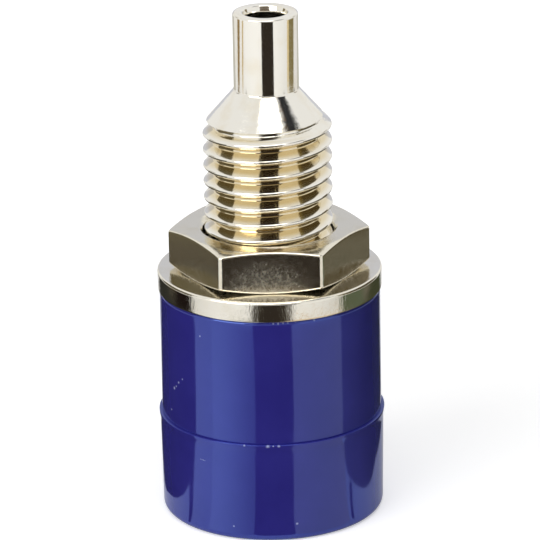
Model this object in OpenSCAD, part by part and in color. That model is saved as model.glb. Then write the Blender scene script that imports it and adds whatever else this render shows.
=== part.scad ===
// Insulated panel socket for a 4 mm banana plug, with a solder tube at the back.
// It stands on its front face: the plug enters from below and the solder tube points up.
// The origin is the centre of the front face, with +Z along the axis to the solder tube.

/* [Front cap] */
// Diameter of the cap where it meets the panel
cap_d = 10.28; // [9.9:0.02:12]
// Height of the cap from its front face to the panel
cap_h = 4.75; // [4:0.05:7]
// Radius that the cap loses towards its front face, as mould draft
cap_draft = 0.06; // [0:0.01:0.15]
// Rounding of the front edge
cap_edge_r = 0.3; // [0.1:0.05:0.6]
// How far the raised rim at the panel stands out
rim_out = 0.05; // [0.03:0.01:0.15]
// Height over which the rim swells out
rim_h = 0.35; // [0.25:0.05:0.8]
// Chamfer on the upper edge of the rim
rim_edge = 0.06; // [0.02:0.01:0.12]
// Diameter of the plug entry in the front face
entry_d = 4.4; // [4.3:0.1:5.4]
// Chamfer round the plug entry
entry_chamfer = 0.4; // [0.1:0.05:0.8]
// Diameter of the spigot that fills the panel hole
spigot_d = 7.9; // [7:0.1:8.6]
// Length of the spigot
spigot_len = 2.6; // [1:0.1:4]

/* [Rear insulator] */
// Diameter of the ring behind the panel
insulator_d = 10.1; // [9.7:0.05:12]
// Height of the ring
insulator_h = 5.85; // [5:0.05:9]
// Chamfer on the edge of the ring under the washer
insulator_edge = 0.12; // [0.05:0.01:0.3]
// Radial clearance of the recess round the spigot
spigot_clearance = 0.1; // [0.05:0.01:0.2]
// Depth of the recess past the end of the spigot
recess_spare = 0.3; // [0.1:0.05:0.6]

/* [Washer] */
// Outer diameter of the washer
washer_d = 10.25; // [9.6:0.05:12]
// Thickness of the washer
washer_t = 0.95; // [0.5:0.05:1.6]
// Chamfer on the outer edges of the washer
washer_edge = 0.12; // [0.05:0.01:0.2]
// Radial clearance of the insulator and the washer round the thread
barrel_clearance = 0.1; // [0.05:0.01:0.25]

/* [Hex nut] */
// Width across the flats
nut_af = 8; // [7.4:0.1:9]
// Height of the nut
nut_h = 2; // [1.4:0.1:3]
// Slope of the chamfer on the corners, from the flat face
nut_chamfer_angle = 18; // [12:1:35]
// Rounding of the six corners
nut_corner_r = 0.25; // [0.05:0.05:0.5]
// Depth of the countersink at each end of the thread
nut_countersink = 0.22; // [0.1:0.02:0.4]
// Radial clearance of the nut round the thread crests
thread_clearance = 0.05; // [0.02:0.01:0.1]

/* [Contact barrel] */
// Diameter over the thread crests
thread_d = 5.85; // [5.7:0.05:6.4]
// Thread pitch
thread_pitch = 0.75; // [0.5:0.05:1]
// Length of thread that shows past the nut
thread_free = 4.8; // [3:0.1:8]
// Diameter of the plug bore
plug_d = 4; // [3.6:0.05:4.2]
// Depth of the contact behind the front face
contact_recess = 1.2; // [0.5:0.1:1.6]
// Wall from the end of the plug bore to the end of the thread
bore_end_wall = 1; // [0.8:0.1:3]

/* [Knurled collar] */
// Diameter over the knurl that the cap is moulded round
collar_d = 7.6; // [7:0.1:8.6]
// Height of the collar
collar_h = 1.6; // [0.8:0.1:1.8]
// Cap material in front of the collar
collar_cover = 1.9; // [1.7:0.1:2.2]
// Number of knurl teeth
knurl_count = 24; // [12:2:36]
// Depth of the knurl
knurl_depth = 0.2; // [0.1:0.05:0.4]

/* [Solder tube] */
// Outer diameter of the tube
tube_d = 2.95; // [2.6:0.05:3.6]
// Length of the tube past the cone
tube_len = 3.56; // [2.5:0.02:7]
// Half angle of the cone between thread and tube, from the axis
cone_half_angle = 41; // [30:1:60]
// Diameter of the solder hole
cup_d = 1.86; // [1.4:0.02:2.2]
// Widening of the solder hole's radius at its mouth
cup_flare = 0.1; // [0.02:0.01:0.15]
// Depth of the widened mouth
cup_flare_h = 0.25; // [0.1:0.05:0.5]
// Chamfer on the outer edge of the tube
tube_edge = 0.08; // [0.03:0.01:0.15]
// Wall between the drill points of plug bore and solder hole
web_t = 0.6; // [0.4:0.1:1.5]

/* [Hidden] */
$fn = 96;
// Overlap of a cutting tool past the face that it cuts
cut = 0.5;
// Half of a twist drill's point angle
drill_half_angle = 59;
// Shares of the pitch, as on a metric thread
thread_depth = 0.6134 * thread_pitch;
crest_w = thread_pitch / 8;
flank_w = thread_depth * tan(30);

// Radii
cap_r = cap_d / 2;
cap_front_r = cap_r - cap_draft;
spigot_r = spigot_d / 2;
thread_r = thread_d / 2;
root_r = thread_r - thread_depth;
barrel_hole_r = thread_r + barrel_clearance;
nut_hole_r = thread_r + thread_clearance;
plug_r = plug_d / 2;
entry_r = entry_d / 2;
tube_r = tube_d / 2;
cup_r = cup_d / 2;
collar_r = collar_d / 2;

// Heights along the axis, from the front face
panel_z = cap_h;
spigot_z = panel_z + spigot_len;
recess_z = spigot_z + recess_spare;
insulator_z = panel_z + insulator_h;
washer_z = insulator_z + washer_t;
nut_z = washer_z + nut_h;
thread_end_z = nut_z + thread_free;
cone_z = thread_end_z + (thread_r - tube_r) / tan(cone_half_angle);
top_z = cone_z + tube_len;
plug_end_z = thread_end_z - bore_end_wall;
plug_tip_z = plug_end_z + plug_r / tan(drill_half_angle);
cup_tip_z = plug_tip_z + web_t;
cup_end_z = cup_tip_z + cup_r / tan(drill_half_angle);
// The thread starts inside the insulator, just past the spigot
ring_count = floor((thread_end_z - recess_z) / thread_pitch);

// One ring of the thread, counted down from its end: root, crest, crest, root
function thread_ring(i) =
    let (crest_top = thread_end_z - i * thread_pitch)
    [
        [thread_r, crest_top],
        [thread_r, crest_top - crest_w],
        [root_r, crest_top - crest_w - flank_w],
        [root_r, crest_top - thread_pitch + flank_w]
    ];

// Outside of the contact from the tube's mouth down to the front end
function contact_outline() = concat(
    [
        [0, top_z],
        [tube_r - tube_edge, top_z],
        [tube_r, top_z - tube_edge],
        [tube_r, cone_z]
    ],
    [for (i = [0:ring_count - 1]) each thread_ring(i)],
    [
        [thread_r, thread_end_z - ring_count * thread_pitch],
        [thread_r, contact_recess],
        [0, contact_recess]
    ]
);

// A blind hole that opens at mouth_z and ends in a drill point, either way along Z
module blind_hole(r, mouth_z, end_z) {
    way = sign(end_z - mouth_z);
    depth = abs(end_z - mouth_z);
    translate([0, 0, mouth_z])
        scale_along(way) {
            translate([0, 0, -cut]) cylinder(r = r, h = depth + cut);
            translate([0, 0, depth]) cylinder(r1 = r, r2 = 0, h = r / tan(drill_half_angle));
        }
}

// Turns the children over when way is -1
module scale_along(way) {
    rotate([way < 0 ? 180 : 0, 0, 0]) children();
}

// A cutter round the mouth of a hole at Z = 0, size wider in radius there than at its depth
module mouth_flare(r, size, depth) {
    translate([0, 0, -cut])
        cylinder(r1 = r + size * (1 + cut / depth), r2 = r, h = depth + cut);
}

// Teeth of a straight knurl, as a solid collar
module knurled_collar() {
    step = 180 / knurl_count;
    teeth = [
        for (i = [0:2 * knurl_count - 1])
            let (r = collar_r - (i % 2) * knurl_depth)
            [r * cos(i * step), r * sin(i * step)]
    ];
    translate([0, 0, collar_cover]) linear_extrude(collar_h) polygon(teeth);
}

// Turned brass socket: plug bore below, threaded barrel, cone and solder tube
module contact() {
    color("#d8cfb8") difference() {
        union() {
            rotate_extrude() polygon(contact_outline());
            knurled_collar();
        }
        blind_hole(plug_r, contact_recess, plug_end_z);
        blind_hole(cup_r, top_z, cup_end_z);
        translate([0, 0, top_z]) rotate([180, 0, 0])
            mouth_flare(cup_r, cup_flare, cup_flare_h);
    }
}

// Half section of the cap, solid to the axis
module cap_section() {
    difference() {
        polygon([
            [0, 0],
            [cap_front_r, 0],
            [cap_r, panel_z - rim_h],
            [cap_r + rim_out, panel_z - rim_h / 2],
            [cap_r + rim_out, panel_z - rim_edge],
            [cap_r + rim_out - rim_edge, panel_z],
            [spigot_r, panel_z],
            [spigot_r, spigot_z],
            [0, spigot_z]
        ]);
        translate([cap_front_r - cap_edge_r, cap_edge_r]) difference() {
            translate([0, -cap_edge_r - cut]) square([cap_edge_r + cut, cap_edge_r + cut]);
            circle(cap_edge_r);
        }
    }
}

// Moulded head that holds the contact, with the spigot for the panel hole
module front_cap() {
    color("#2c2a85") difference() {
        rotate_extrude() cap_section();
        translate([0, 0, -cut]) cylinder(r = entry_r, h = contact_recess + 2 * cut);
        mouth_flare(entry_r, entry_chamfer, entry_chamfer);
        translate([0, 0, contact_recess]) cylinder(r = thread_r, h = spigot_z);
        knurled_collar();
    }
}

// Moulded ring that insulates the back of the panel from washer and nut
module rear_insulator() {
    r = insulator_d / 2;
    recess_r = spigot_r + spigot_clearance;
    e = insulator_edge;
    color("#2b2980") rotate_extrude() polygon([
        [recess_r, panel_z],
        [r, panel_z],
        [r, insulator_z - e],
        [r - e, insulator_z],
        [barrel_hole_r, insulator_z],
        [barrel_hole_r, recess_z],
        [recess_r, recess_z]
    ]);
}

// Flat plated ring under the nut
module washer() {
    r = washer_d / 2;
    e = washer_edge;
    color("#cfc6ae") rotate_extrude() polygon([
        [barrel_hole_r, insulator_z],
        [r - e, insulator_z],
        [r, insulator_z + e],
        [r, washer_z - e],
        [r - e, washer_z],
        [barrel_hole_r, washer_z]
    ]);
}

// Hexagon with true arcs at its corners and a flat facing -Y
module rounded_hexagon(af, corner_r) {
    flat = af / 2;
    centre_r = (flat - corner_r) / cos(30);
    half_side = centre_r / 2;
    polygon([
        for (i = [0:5]) each [
            for (s = [-1, 1])
                let (a = 60 * i)
                [flat * cos(a) - s * half_side * sin(a), flat * sin(a) + s * half_side * cos(a)]
        ]
    ]);
    for (i = [0:5]) rotate(60 * i + 30) translate([centre_r, 0]) circle(corner_r);
}

// Half section of a bar with both ends chamfered down to the width across the flats
module nut_envelope() {
    far = 0.6 * nut_af;
    drop = (far - nut_af / 2) * tan(nut_chamfer_angle);
    rotate_extrude() polygon([
        [0, washer_z],
        [nut_af / 2, washer_z],
        [far, washer_z + drop],
        [far, nut_z - drop],
        [nut_af / 2, nut_z],
        [0, nut_z]
    ]);
}

// Thin hex nut, chamfered and countersunk on both faces
module hex_nut() {
    color("#c9c0a6") difference() {
        intersection() {
            translate([0, 0, washer_z]) linear_extrude(nut_h)
                rotate(30) rounded_hexagon(nut_af, nut_corner_r);
            nut_envelope();
        }
        translate([0, 0, washer_z - cut]) cylinder(r = nut_hole_r, h = nut_h + 2 * cut);
        translate([0, 0, washer_z]) mouth_flare(nut_hole_r, nut_countersink, nut_countersink);
        translate([0, 0, nut_z]) rotate([180, 0, 0])
            mouth_flare(nut_hole_r, nut_countersink, nut_countersink);
    }
}

contact();
front_cap();
rear_insulator();
washer();
hex_nut();
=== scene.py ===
import math

import bmesh
import bpy
from mathutils import Matrix, Vector


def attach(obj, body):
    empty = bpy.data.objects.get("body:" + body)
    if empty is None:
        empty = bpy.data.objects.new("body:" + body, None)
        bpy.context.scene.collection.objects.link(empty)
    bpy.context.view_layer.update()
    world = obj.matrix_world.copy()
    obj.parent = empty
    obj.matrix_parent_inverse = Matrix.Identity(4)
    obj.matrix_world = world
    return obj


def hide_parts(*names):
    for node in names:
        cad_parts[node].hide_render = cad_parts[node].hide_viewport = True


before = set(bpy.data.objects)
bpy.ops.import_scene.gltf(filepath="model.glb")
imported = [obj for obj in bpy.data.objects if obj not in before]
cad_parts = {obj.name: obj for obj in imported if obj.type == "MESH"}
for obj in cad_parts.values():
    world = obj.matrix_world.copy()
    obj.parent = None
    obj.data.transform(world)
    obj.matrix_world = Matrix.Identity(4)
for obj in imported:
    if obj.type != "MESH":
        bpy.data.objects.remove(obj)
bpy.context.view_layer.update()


# The contact: one turned brass piece with the plug bore at the front, a
# barrel threaded for the nut, a cone and the solder tube. It is nickel plated
# and the cap is moulded round its knurled collar.
mm = 0.001


def turned(outline, rounds):
    """A piece turned on the Z axis from its half section in mm, with some corners rounded.

    A ring of points beside each round keeps the wall next to it true in reflections.
    """
    beside, spare = 0.02 * mm, 0.06 * mm
    spots = [Vector((r, 0, z)) * mm for r, z in outline]
    sizes = [rounds.get(i, 0) * mm for i in range(len(spots))]
    bm = bmesh.new()
    points, corners = [], {}
    for i, here in enumerate(spots):
        for j in (i - 1, i, (i + 1) % len(spots)):
            there = spots[j] - here
            if j == i:
                points.append(bm.verts.new(here))
                corners[points[-1]] = sizes[i]
            elif sizes[i] and there.length > sizes[i] + sizes[j] + spare:
                points.append(bm.verts.new(here + there.normalized() * (sizes[i] + beside)))
    for a, b in zip(points, points[1:] + points[:1]):
        bm.edges.new((a, b))
    for corner, size in corners.items():
        if size:
            bmesh.ops.bevel(
                bm, geom=[corner], affect="VERTICES", offset=size,
                offset_type="OFFSET", segments=5, profile=0.5, material=-1,
            )
    bmesh.ops.spin(
        bm, geom=bm.verts[:] + bm.edges[:], cent=(0, 0, 0), axis=(0, 0, 1),
        angle=math.tau, steps=128, use_merge=True,
    )
    return bm


def finished(name, bm, sharp=28):
    """The mesh as an object at the origin, smooth apart from its sharp edges."""
    bmesh.ops.remove_doubles(bm, verts=bm.verts[:], dist=0.0005 * mm)
    bmesh.ops.recalc_face_normals(bm, faces=bm.faces[:])
    for face in bm.faces:
        face.smooth = True
    for edge in bm.edges:
        edge.smooth = edge.calc_face_angle(0) < math.radians(sharp)
    mesh = bpy.data.meshes.new(name)
    bm.to_mesh(mesh)
    bm.free()
    piece = bpy.data.objects.new(name, mesh)
    bpy.context.scene.collection.objects.link(piece)
    return piece


def cut(piece, tool, operation="DIFFERENCE"):
    """Cuts the tool out of the piece, joins it on or keeps what they share, and clears it away."""
    boolean = piece.modifiers.new("cut", "BOOLEAN")
    boolean.operation = operation
    boolean.solver = "EXACT"
    boolean.object = tool
    bpy.context.view_layer.update()
    cut_mesh = bpy.data.meshes.new_from_object(
        piece.evaluated_get(bpy.context.evaluated_depsgraph_get())
    )
    bpy.data.objects.remove(piece)
    bpy.data.objects.remove(tool)
    bm = bmesh.new()
    bm.from_mesh(cut_mesh)
    return bm


thread_r, tube_r, plug_r, cup_r = 2.925, 1.475, 2.0, 0.93
front_end, plug_lead, bore_floor, bore_point = 1.2, 0.25, 17.35, 18.552
pitch, thread_end, cone_end, tube_top = 0.75, 18.35, 20.018, 23.578
cup_flare, flare_depth, cup_floor, cup_point = 0.1, 0.25, 19.711, 19.152
barrel = finished("barrel_blank", turned([
    (plug_r + plug_lead, front_end), (thread_r, front_end), (thread_r, thread_end),
    (tube_r, cone_end), (tube_r, tube_top), (cup_r + cup_flare, tube_top),
    (cup_r, tube_top - flare_depth), (cup_r, cup_floor), (0, cup_point), (0, bore_point),
    (plug_r, bore_floor), (plug_r, front_end + plug_lead),
], {3: 0.05, 4: 0.08, 5: 0.04, 6: 0.06}))

collar_low, collar_high, tooth_tip, tooth_root, teeth = 1.9, 3.5, 3.8, 3.6, 24


def knurl():
    """The collar that the cap is moulded round, with straight teeth."""
    bm = bmesh.new()
    bmesh.ops.create_cone(
        bm, cap_ends=True, segments=2 * teeth, radius1=tooth_tip * mm, radius2=tooth_tip * mm,
        depth=(collar_high - collar_low) * mm,
    )
    for vert in bm.verts:
        if round(math.atan2(vert.co.y, vert.co.x) / math.tau * 2 * teeth) % 2:
            vert.co.xy *= tooth_root / tooth_tip
    middle = (collar_low + collar_high) / 2
    bmesh.ops.translate(bm, verts=bm.verts[:], vec=(0, 0, middle * mm))
    return finished("knurl", bm)


barrel = finished("barrel_knurled", cut(barrel, knurl(), "UNION"))

# The thread is one right-hand groove with round crests and a round root. It
# is turned a little, so that its steps miss the barrel's own edges.
crest, root, turns, turn_steps, start_turn = 0.09, 0.1, 15.4, 96, 0.02
high_groove, turns_below = 17.2125, 12
start_z = high_groove - turns_below * pitch
groove = [(3.3, 0.361), (2.93, 0.36)]  # the two points outside the barrel
for slope in (10, 22, 34, 47, 60):
    lean = math.radians(slope)
    groove.append((thread_r - crest + crest * math.cos(lean), pitch / 2 - crest * math.sin(lean)))
flank_r, flank_z = groove[-1]
root_r = flank_r - (flank_z - root * math.sin(lean)) / math.tan(math.pi / 6) + root / 2
for slope in (60, 40, 20):
    lean = math.radians(slope)
    groove.append((root_r - root * math.cos(lean), root * math.sin(lean)))
bm = bmesh.new()
section = [bm.verts.new((r * mm, 0, (start_z + z) * mm)) for r, z in groove]
section += [bm.verts.new((r * mm, 0, (start_z - z) * mm)) for r, z in reversed(groove)]
bm.faces.new(section)
bmesh.ops.rotate(
    bm, verts=bm.verts[:], cent=(0, 0, 0), matrix=Matrix.Rotation(start_turn, 3, "Z"),
)
steps = int(turns * turn_steps)
bmesh.ops.spin(
    bm, geom=bm.verts[:] + bm.edges[:] + bm.faces[:], cent=(0, 0, 0), axis=(0, 0, 1),
    dvec=(0, 0, pitch * turns / steps * mm), angle=math.tau * turns, steps=steps,
)
contact = finished("contact_threaded", cut(barrel, finished("thread_groove", bm)))


class Shade:
    """A socket in a material's nodes; sums, products and powers of it add Math nodes."""

    def __init__(self, tree, socket=None):
        self.tree, self.socket = tree, socket

    def node(self, kind, settings=None, sockets=None, out=0):
        made = self.tree.nodes.new("ShaderNode" + kind)
        for name, value in (settings or {}).items():
            setattr(made, name, value)
        for name, value in (sockets or {}).items():
            if isinstance(value, Shade):
                self.tree.links.new(value.socket, made.inputs[name])
            else:
                made.inputs[name].default_value = value
        return Shade(self.tree, made.outputs[out] if made.outputs else None)

    def maths(self, operation, a, b):
        return self.node("Math", {"operation": operation}, {0: a, 1: b})

    def __add__(self, other): return self.maths("ADD", self, other)
    def __radd__(self, other): return self.maths("ADD", other, self)
    def __sub__(self, other): return self.maths("SUBTRACT", self, other)
    def __rsub__(self, other): return self.maths("SUBTRACT", other, self)
    def __mul__(self, other): return self.maths("MULTIPLY", self, other)
    def __rmul__(self, other): return self.maths("MULTIPLY", other, self)
    def __pow__(self, other): return self.maths("POWER", self, other)

    def along(self, axis):
        """This vector's X, Y or Z."""
        return self.node("SeparateXYZ", sockets={0: self}, out="XYZ".index(axis))

    def between(self, low, high):
        """0 below low, 1 above high and a smooth step from one to the other."""
        return self.node("MapRange", {"interpolation_type": "SMOOTHSTEP"}, {
            "Value": self, "From Min": low, "From Max": high, "To Min": 0.0, "To Max": 1.0,
        })

    def blend(self, first, second):
        """The first colour where this is 0 and the second where it is 1."""
        return self.node("Mix", {"data_type": "RGBA"}, {0: self, 6: first, 7: second}, out=2)


def material(name):
    """An empty node material and the wrapper that fills it."""
    made = bpy.data.materials.new(name)
    made.use_nodes = True
    made.node_tree.nodes.clear()
    return made, Shade(made.node_tree)


def plated(name, nickel, brass, grain, sheen, grain_depth, worn=None):
    """Nickel plating that thins to a warmer tone in patches, and is warmer and darker deep in the
    thread's groove.

    grain is how fine its streaks are along X, Y and Z, and the turned cone has the
    strongest. worn is the middle in mm of a patch with matte specks, on the nut, whose
    lower edge is matte too.
    """
    made, shade = material(name)
    place = shade.node("TexCoord", out=3)
    x, y, z = (place.along(axis) for axis in "XYZ")
    r = (x * x + y * y) ** 0.5
    cloud = shade.node("TexNoise", sockets={"Vector": place, "Scale": 900.0, "Detail": 4.0})
    streak = shade.node("TexNoise", sockets={
        "Vector": shade.node("Mapping", sockets={"Vector": place, "Scale": grain}),
        "Scale": 1.0, "Detail": 5.0, "Roughness": 0.6,
    })
    deep = r.between(2.3 * mm, 2.45 * mm) * (1 - r.between(2.6 * mm, 2.9 * mm))
    deep = deep * (1 - z.between(18.3 * mm, 18.4 * mm))
    colour = deep.blend(nickel, brass)
    colour = (cloud.between(0.45, 0.75) * 0.3).blend(colour, brass)
    cone = z.between(18.3 * mm, 18.5 * mm) * (1 - z.between(19.8 * mm, 20.0 * mm))
    bump = shade.node("Bump", sockets={
        "Strength": grain_depth, "Distance": 0.02 * mm,
        "Height": streak * (1 + cone * 36) + cloud * 0.5,
    })
    matte = sheen + streak.between(0.35, 0.75) * sheen + cloud * 0.04
    if worn:
        speck = shade.node("TexNoise", sockets={"Vector": place, "Scale": 8500.0, "Detail": 5.0})
        off_x, off_y = x - worn[0] * mm, y - worn[1] * mm
        off_z = (z - worn[2] * mm) * 1.6
        away = (off_x * off_x + off_y * off_y + off_z * off_z) ** 0.5
        near = 0.8 - away.between(0.8 * mm, 2.5 * mm) * 0.8
        low = 1 - z.between(11.6 * mm, 11.9 * mm)
        matte = matte + near * (speck.between(0.25, 0.8) * 0.17 + 0.075) + low * 0.12
    surface = shade.node("BsdfPrincipled", sockets={
        "Base Color": colour, "Metallic": 1.0, "Normal": bump, "Roughness": matte,
    })
    shade.node("OutputMaterial", sockets={"Surface": surface})
    return made


contact.data.materials.append(plated(
    "nickel_on_the_contact", nickel=(0.92, 0.89, 0.81, 1), brass=(0.80, 0.69, 0.47, 1),
    grain=(1500, 1500, 6000), sheen=0.045, grain_depth=0.05,
))
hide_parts("contact")
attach(contact, "socket")


# The front cap: glossy blue plastic moulded round the contact, with a thin
# raised lip where it meets the panel and a spigot that fills the panel hole.
panel, spigot_top, lip_h, lip_edge, entry_lead = 4.75, 7.35, 0.35, 0.12, 0.4
foot_r, wall_r, lip_r, spigot_r, entry_r = 5.085, 5.14, 5.19, 3.95, 2.2
cap = finished("cap_blank", turned([
    (entry_r + entry_lead, 0), (foot_r, 0), (wall_r, panel - lip_h), (lip_r, panel - lip_edge),
    (lip_r, panel), (spigot_r, panel), (spigot_r, spigot_top), (thread_r, spigot_top),
    (thread_r, front_end), (entry_r, front_end), (entry_r, entry_lead),
], {0: 0.05, 1: 0.3, 2: 0.15, 3: 0.05, 4: 0.09, 6: 0.12}))
cap = finished("cap_moulded", cut(cap, knurl()))


def moulded_blue(name, nick_and_glint_spots):
    """Dyed glossy plastic with a faint moulded skin, pale nicks and painted highlights.

    A spot, a pale nick or a painted glint on an edge, is its angle from the front, its
    height and radius in mm, and its size.
    """
    dark_dye, light_dye = (0.025, 0.0205, 0.202, 1), (0.03, 0.025, 0.23, 1)
    nick_and_glint_colour, nick_and_glint_strength = (0.5, 0.54, 0.75, 1), 0.75
    made, shade = material(name)
    place = shade.node("TexCoord", out=3)
    cloud = shade.node("TexNoise", sockets={"Vector": place, "Scale": 350.0, "Detail": 3.0})
    skin = shade.node("TexNoise", sockets={"Vector": place, "Scale": 5000.0, "Detail": 3.0})
    nick_and_glint_mask = 0.0
    # Each spot is a pale nick or a painted highlight; inside it the plastic is paler and rougher.
    for angle, height, radius, size in nick_and_glint_spots:
        turn = math.radians(angle)
        centre = (radius * mm * math.sin(turn), -radius * mm * math.cos(turn), height * mm)
        away = shade.node("VectorMath", {"operation": "DISTANCE"}, {0: place, 1: centre}, out=1)
        away = away + (skin - 0.5) * (size * mm)
        nick_and_glint_mask = (1 - away.between(size * 0.1 * mm, size * 1.1 * mm)) * nick_and_glint_strength + nick_and_glint_mask
    colour = cloud.between(0.3, 0.7).blend(dark_dye, light_dye)
    colour = nick_and_glint_mask.blend(colour, nick_and_glint_colour)
    bump = shade.node("Bump", sockets={"Strength": 0.04, "Distance": 0.01 * mm, "Height": skin})
    surface = shade.node("BsdfPrincipled", sockets={
        "Base Color": colour, "Normal": bump, "IOR": 1.85, "Specular IOR Level": 1.0,
        "Specular Tint": (0.24, 0.385, 1.0, 1),
        "Roughness": 0.07 + cloud.between(0.3, 0.8) * 0.05 + nick_and_glint_mask * 0.3,
    })
    shade.node("OutputMaterial", sockets={"Surface": surface})
    return made


# The four spots on the lip's edge at 4.72 mm are painted highlights, glints where the lip catches
# the light; the rest are a scratch and two pale nicks.
cap.data.materials.append(moulded_blue("blue_of_the_cap", [
    (-15.2, 4.72, 5.18, 0.07), (-3.3, 4.72, 5.18, 0.11), (2.2, 4.72, 5.18, 0.08),
    (-0.6, 4.72, 5.18, 0.04), (-40.6, 3.66, 5.13, 0.035), (-39.7, 3.655, 5.13, 0.04),
    (-38.8, 3.65, 5.13, 0.04), (-37.9, 3.645, 5.13, 0.035),
    (11.0, 0.84, 5.09, 0.07), (-21.9, 0.68, 5.09, 0.05),
]))
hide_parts("front_cap")
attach(cap, "socket")


# The rear ring: the same blue plastic, moulded as a loose ring with a recess
# that slips over the spigot and keeps the washer and nut off the panel.
ring_r, ring_top, recess_r, recess_top, hole_r = 5.05, 10.6, 4.05, 7.65, 3.025
ring = finished("ring_moulded", turned([
    (recess_r, panel), (ring_r, panel), (ring_r, ring_top), (hole_r, ring_top),
    (hole_r, recess_top), (recess_r, recess_top),
], {1: 0.03, 2: 0.14}))
# The spots along the top edge at 10.53 mm are painted highlights, glints on the rounded edge; the
# rest are scuffs and a nick low on the left.
ring.data.materials.append(moulded_blue("blue_of_the_ring", [
    (-62.0, 6.55, 5.05, 0.1), (-57.5, 6.95, 5.05, 0.07), (-54.0, 7.2, 5.05, 0.05),
    (-60.0, 6.7, 5.05, 0.05), (-66.0, 5.4, 5.05, 0.05), (-40.0, 9.6, 5.05, 0.06),
    (0.5, 10.53, 5.0, 0.06), (3.0, 10.53, 5.0, 0.07), (5.5, 10.53, 5.0, 0.06),
    (8.0, 10.53, 5.0, 0.06), (22.0, 10.53, 5.0, 0.07), (12.0, 10.53, 5.0, 0.04),
]))
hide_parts("rear_insulator")
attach(ring, "clamp_stack")


# The washer: a flat ring punched from brass strip and nickel plated, with
# edges that tumbling has rounded. It lies loose between the ring and the nut.
washer_r, washer_top = 5.125, 11.55
washer = finished("washer_plated", turned([
    (hole_r, ring_top), (washer_r, ring_top), (washer_r, washer_top), (hole_r, washer_top),
], {1: 0.08, 2: 0.12, 3: 0.05}))
washer.data.materials.append(plated(
    "nickel_on_the_washer", nickel=(0.90, 0.86, 0.76, 1), brass=(0.80, 0.70, 0.50, 1),
    grain=(7000, 7000, 1600), sheen=0.035, grain_depth=0.42,
))
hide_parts("washer")
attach(washer, "clamp_stack")


# The nut: a thin hexagon nut turned from drawn brass bar and plated. Both
# faces are chamfered and countersunk, and handling has dulled its front flat.
flats, nut_top, nut_hole, countersink, chamfer = 8.0, 13.55, 2.975, 0.22, 18
corner_r, corner_cut, edge_round = flats / 3 ** 0.5, 0.144, 0.07
bm = bmesh.new()
bmesh.ops.create_cone(
    bm, cap_ends=True, segments=6, radius1=corner_r * mm, radius2=corner_r * mm,
    depth=(nut_top - washer_top) * mm,
)
bmesh.ops.rotate(
    bm, verts=bm.verts[:], cent=(0, 0, 0), matrix=Matrix.Rotation(math.pi / 6, 3, "Z"),
)
bmesh.ops.translate(bm, verts=bm.verts[:], vec=(0, 0, (washer_top + nut_top) / 2 * mm))
corners = [e for e in bm.edges if abs(e.verts[0].co.z - e.verts[1].co.z) > mm]
bmesh.ops.bevel(
    bm, geom=corners, affect="EDGES", offset=corner_cut * mm, offset_type="OFFSET",
    segments=6, profile=0.5, material=-1,
)
face_r, far_r = flats / 2 - 0.1, 5.0
drop = (far_r - face_r) * math.tan(math.radians(chamfer))
envelope = finished("nut_envelope", turned([
    (nut_hole, washer_top + countersink), (nut_hole + countersink, washer_top),
    (face_r, washer_top), (far_r, washer_top + drop), (far_r, nut_top - drop),
    (face_r, nut_top), (nut_hole + countersink, nut_top), (nut_hole, nut_top - countersink),
], {}))
nut = finished("nut_plated", cut(finished("nut_blank", bm), envelope, "INTERSECT"), sharp=20)
soft = nut.modifiers.new("soft_edges", "BEVEL")
soft.width, soft.segments, soft.limit_method = edge_round * mm, 3, "ANGLE"
soft.angle_limit, soft.use_clamp_overlap = math.radians(20), False
even = nut.modifiers.new("flat_faces", "WEIGHTED_NORMAL")
even.mode, even.weight, even.thresh, even.keep_sharp = "FACE_AREA", 100, 1e-9, True
nut.data.materials.append(plated(
    "nickel_on_the_nut", nickel=(0.87, 0.82, 0.69, 1), brass=(0.76, 0.66, 0.46, 1),
    grain=(4500, 4500, 3500), sheen=0.09, grain_depth=0.5, worn=(-0.2, -4.0, 12.05),
))
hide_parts("hex_nut")
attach(nut, "nut")


# The studio: a pale floor, white all round, two soft lamps above the front
# and cards that only reflections see, which draw the bands on metal and blue.
black, white = (0, 0, 0, 1), (1, 1, 1, 1)
bm = bmesh.new()
bmesh.ops.create_grid(bm, x_segments=1, y_segments=1, size=3.0)
bmesh.ops.translate(bm, verts=bm.verts[:], vec=(0, 0, -0.02 * mm))
floor = finished("floor", bm)
made, shade = material("pale_floor")
by_camera, by_glossy, by_clear = (shade.node("LightPath", out=ray) for ray in (0, 3, 6))
seen = by_camera * 0.5 + by_glossy * 0.15 + by_clear * 0.15
pale = shade.node("BsdfDiffuse", sockets={"Color": (0.8, 0.8, 0.8, 1)})
glow = shade.node("Emission", sockets={"Color": seen.blend(black, white), "Strength": 1.0})
both = shade.node("AddShader", sockets={0: pale, 1: glow})
shade.node("OutputMaterial", sockets={"Surface": both})
floor.data.materials.append(made)


def flag(name, colour, corners, fade=None, shades=False):
    """A card, by its corners in mm, that only reflections see, or only the light that it shades.

    fade is two angles from the front, about a point halfway to the body's wall, and the
    colour at the first of them.
    """
    halfway = 2.55 * mm
    bm = bmesh.new()
    bm.faces.new([bm.verts.new((x * mm, y * mm, z * mm)) for x, y, z in corners])
    card = finished(name, bm)
    made, shade = material(name)
    shown = (*colour, 1)
    if fade:
        first, last, start = fade
        place = shade.node("TexCoord", out=3)
        turn = shade.maths("ARCTAN2", place.along("X"), (place.along("Y") + halfway) * -1)
        shown = turn.between(math.radians(first), math.radians(last)).blend((*start, 1), shown)
    glow = shade.node("Emission", sockets={"Color": shown, "Strength": 1.0})
    shade.node("OutputMaterial", sockets={"Surface": glow})
    card.data.materials.append(made)
    card.visible_camera = card.visible_shadow = card.visible_transmission = False
    card.visible_diffuse, card.visible_glossy = shades, not shades


def lying(*corners, height=0.05):
    """Corners on the floor."""
    return [(x, y, height) for x, y in corners]


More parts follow.
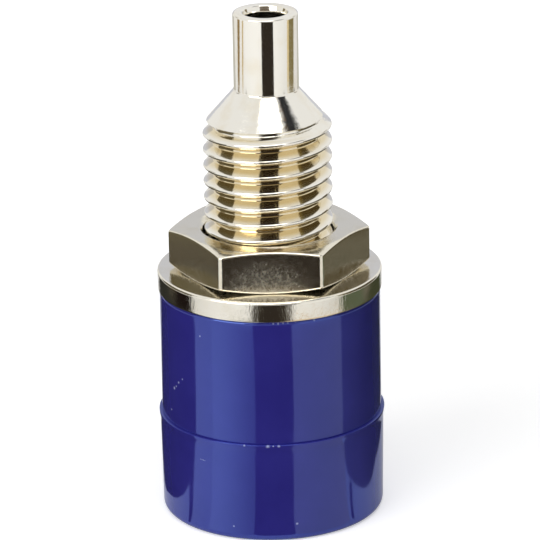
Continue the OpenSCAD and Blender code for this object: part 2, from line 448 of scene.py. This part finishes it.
def upright(first, last, low, high, reach, lean=0):
    """Corners of an upright card, by its angles from the front to the right, heights and reach."""
    spots = ((first, low), (last, low), (last + lean, high), (first + lean, high))
    return [
        (reach * math.sin(math.radians(turn)), -reach * math.cos(math.radians(turn)), height)
        for turn, height in spots
    ]


# The dark strip in front, and beside it the two paler strips, run out from
# the part's foot. Two thin pale cards on the strip show as pale streaks reflected in the washer.
left_side = [
    (-1.25, -5.6), (-1.93, -7.68), (-2.96, -10.95), (-4.38, -15.2), (-5.69, -19.84),
    (-7.86, -26.4), (-10.3, -31.7),
]
right_side = [
    (1.15, -5.6), (1.78, -7.62), (3.02, -10.82), (4.46, -14.7), (6.69, -19.35),
    (9.17, -25.8), (10.87, -31.4),
]
flag("front_flag", (0.03, 0.024, 0.019), lying(
    *left_side, (-11.9, -34.2), (-13, -45), (-17, -62), (-31, -112), (-60, -220), (110, -220),
    (54, -112), (30, -62), (18, -45), (11.8, -34.5), *reversed(right_side)))
flag("left_shade", (0.29, 0.29, 0.29), lying(
    *left_side, (-17.9, -28.2), (-24, -22.9), (-28.5, -16.3), (-3.6, -4.2)),
    fade=(-62, -8, (0.97, 0.97, 0.97)))
flag("right_shade", (0.72, 0.6, 0.46), lying(
    *right_side, (17.9, -28.2), (24, -22.9), (28.5, -16.3), (31, -10), (4.3, -3.8)))
flag("left_streak", (0.75, 0.72, 0.62), lying(
    (-7.85, -33.4), (-8.45, -38.5), (-8.2, -38.5), (-7.6, -33.4), height=0.1))
flag("right_streak", (0.8, 0.77, 0.66), lying(
    (8.2, -33.4), (8.9, -38.5), (9.35, -38.5), (8.65, -33.4), height=0.1))

# Dark cards on the floor at both sides, for the body, the washer and the nut,
# and thin ones close to the foot for the lower half of the cap.
flag("left_flag", (0.03, 0.03, 0.025), lying(
    (-8.64, -2.32), (-8.81, -3.25), (-11.2, -3.46), (-13.4, -3.84), (-16.6, -4.0), (-20, -4.35),
    (-27, -4.8), (-31, -5.4), (-31, 30), (-24, 45), (-7.4, 14), (-6.02, 2.0), (-6.08, 0.93),
    (-6.35, 0.19), (-6.46, -0.41), (-6.76, -1.05), (-7.5, -1.76)))
flag("left_washer_flag", (0.012, 0.008, 0.007), lying(
    (-31, -4.6), (-44, -4.2), (-44, 10), (-33.2, 10), (-31, 14)))
flag("left_nut_flag", (0.11, 0.095, 0.07), lying(
    (-33.2, 10), (-48, 10), (-48, 30), (-24, 45), (-31, 30), (-31, 14)))
flag("right_flag", (0.05, 0.055, 0.03), lying(
    (9.66, -4.64), (10.06, -4.8), (11.5, -5.6), (12.8, -6.4), (17.2, -6.7), (20.5, -7.5),
    (26.7, -8.96), (31, -10), (31, 30), (24, 45), (9, 14), (9.35, 2.57), (8.67, 1.1),
    (8.04, -0.12), (7.76, -0.98), (7.75, -1.76), (8.03, -2.39), (8.48, -3.2), (9.07, -3.99)),
    fade=(72, 120, (0.2, 0.18, 0.16)))
flag("right_washer_flag", (0.1, 0.12, 0.075), lying((31, -10.6), (44, -14), (44, 8), (31, 8)))
flag("right_nut_flag", (0.145, 0.132, 0.1), lying(
    (31, 8), (48, 8), (48, 30), (24, 45), (31, 30)))
flag("left_gap", (0.05, 0.05, 0.05), lying(
    (-4.5, -3.2), (-8.8, -3.25), (-8.6, -2.5), (-4.5, -3.05)))
flag("right_gap", (0.05, 0.05, 0.05), lying(
    (4.5, -3.68), (8.7, -4.2), (8.7, -3.75), (4.5, -3.5)))

# Cards further out on the floor: one behind for the edges of thread and tube,
# and four at the sides for the lines along the tube.
flag("back_shade", (0.55, 0.54, 0.5), lying((-45, 47), (-60, 105), (60, 105), (45, 47)))
flag("left_tube_line", (0.28, 0.19, 0.08), lying(
    (-83, 35.5), (-88, 14.5), (-63.2, 21), (-57.5, 33.2)))
flag("left_tube_edge", (0.55, 0.42, 0.22), lying(
    (-90, -3.5), (-89, -13), (-67, -1), (-66.6, 6)))
flag("right_tube_line", (0.22, 0.18, 0.08), lying(
    (92, 3), (81, 45), (62.4, 22.6), (66.5, -6.7)))
flag("right_tube_edge", (0.72, 0.58, 0.32), lying(
    (91, -11), (92, 3), (66.5, -6.7), (65, -16.2)))

# Upright cards: close ones for the thread, further ones for what nut and
# washer show each other, one where the camera stands, one behind for the tops
# of nut and washer, and a high one for the cone. The last two darken the soft
# light on the body's sides.
flag("left_thread_card", (0.13, 0.115, 0.075), upright(-116, -70, 10.5, 16.8, 12))
flag("right_thread_card", (0.09, 0.075, 0.045), upright(58, 112, 10.5, 16.8, 12),
    fade=(68, 82, (0.26, 0.22, 0.11)))
flag("left_nut_card", (0.2, 0.16, 0.09), upright(-126, -108, 27, 41, 64))
flag("right_nut_card", (0.2, 0.16, 0.09), upright(108, 126, 27, 41, 64))
flag("camera_flag", (0.14, 0.11, 0.075), upright(-28, 28, 36, 110, 170))
flag("back_card", (0.6, 0.615, 0.68), upright(153, 207, 14, 34.5, 45))
flag("cone_card", (0.03, 0.03, 0.033), upright(36, 79, 95, 190, 90, lean=22),
    fade=(51, 57, (0.32, 0.21, 0.11)))
flag("right_shading", (0.0, 0.0, 0.0), upright(55, 138, 0.1, 70, 45), shades=True)
flag("left_shading", (0.05, 0.05, 0.05), upright(-138, -72, 0.1, 50, 45), shades=True)

world = bpy.data.worlds.new("white_studio")
bpy.context.scene.world = world
world.use_nodes = True
world.node_tree.nodes.clear()
shade = Shade(world.node_tree)
by_camera, by_glossy, by_clear = (shade.node("LightPath", out=ray) for ray in (0, 3, 6))
seen = 0.65 + by_camera * 0.35 + by_clear * 0.35 + by_glossy * 0.22
sky = shade.node("Background", sockets={"Color": seen.blend(black, white), "Strength": 1.0})
shade.node("OutputWorld", sockets={"Surface": sky})


def lamp(name, size, energy, place):
    """A soft square lamp that points at the part."""
    light = bpy.data.lights.new(name, "AREA")
    light.size, light.energy = size, energy
    made = bpy.data.objects.new(name, light)
    made.location = place
    aim = Vector((0, 0, 12 * mm)) - made.location
    made.rotation_euler = aim.to_track_quat("-Z", "Y").to_euler()
    bpy.context.scene.collection.objects.link(made)


lamp("top_lamp", 0.18, 0.22, (0.029, -0.162, 0.315))
lamp("key_lamp", 0.3, 0.8, (-0.26, -0.27, 0.25))

camera = bpy.data.cameras.new("photo_camera")
camera.sensor_width, camera.lens = 36, 292
camera.clip_start, camera.clip_end = 0.01, 10
camera_object = bpy.data.objects.new("photo_camera", camera)
turn, tilt, roll = math.radians(-0.9), math.radians(19.5), math.radians(1.0)
target, distance = Vector((0.02 * mm, 0, 11.31 * mm)), 0.2
toward = Vector((
    math.sin(turn) * math.cos(tilt), -math.cos(turn) * math.cos(tilt), math.sin(tilt),
))
camera_object.location = target + toward * distance
camera_object.rotation_euler = (
    (-toward).to_track_quat("-Z", "Y").to_matrix() @ Matrix.Rotation(-roll, 3, "Z")
).to_euler()
bpy.context.scene.collection.objects.link(camera_object)
bpy.context.scene.camera = camera_object

bpy.context.scene.view_settings.view_transform = "Standard"
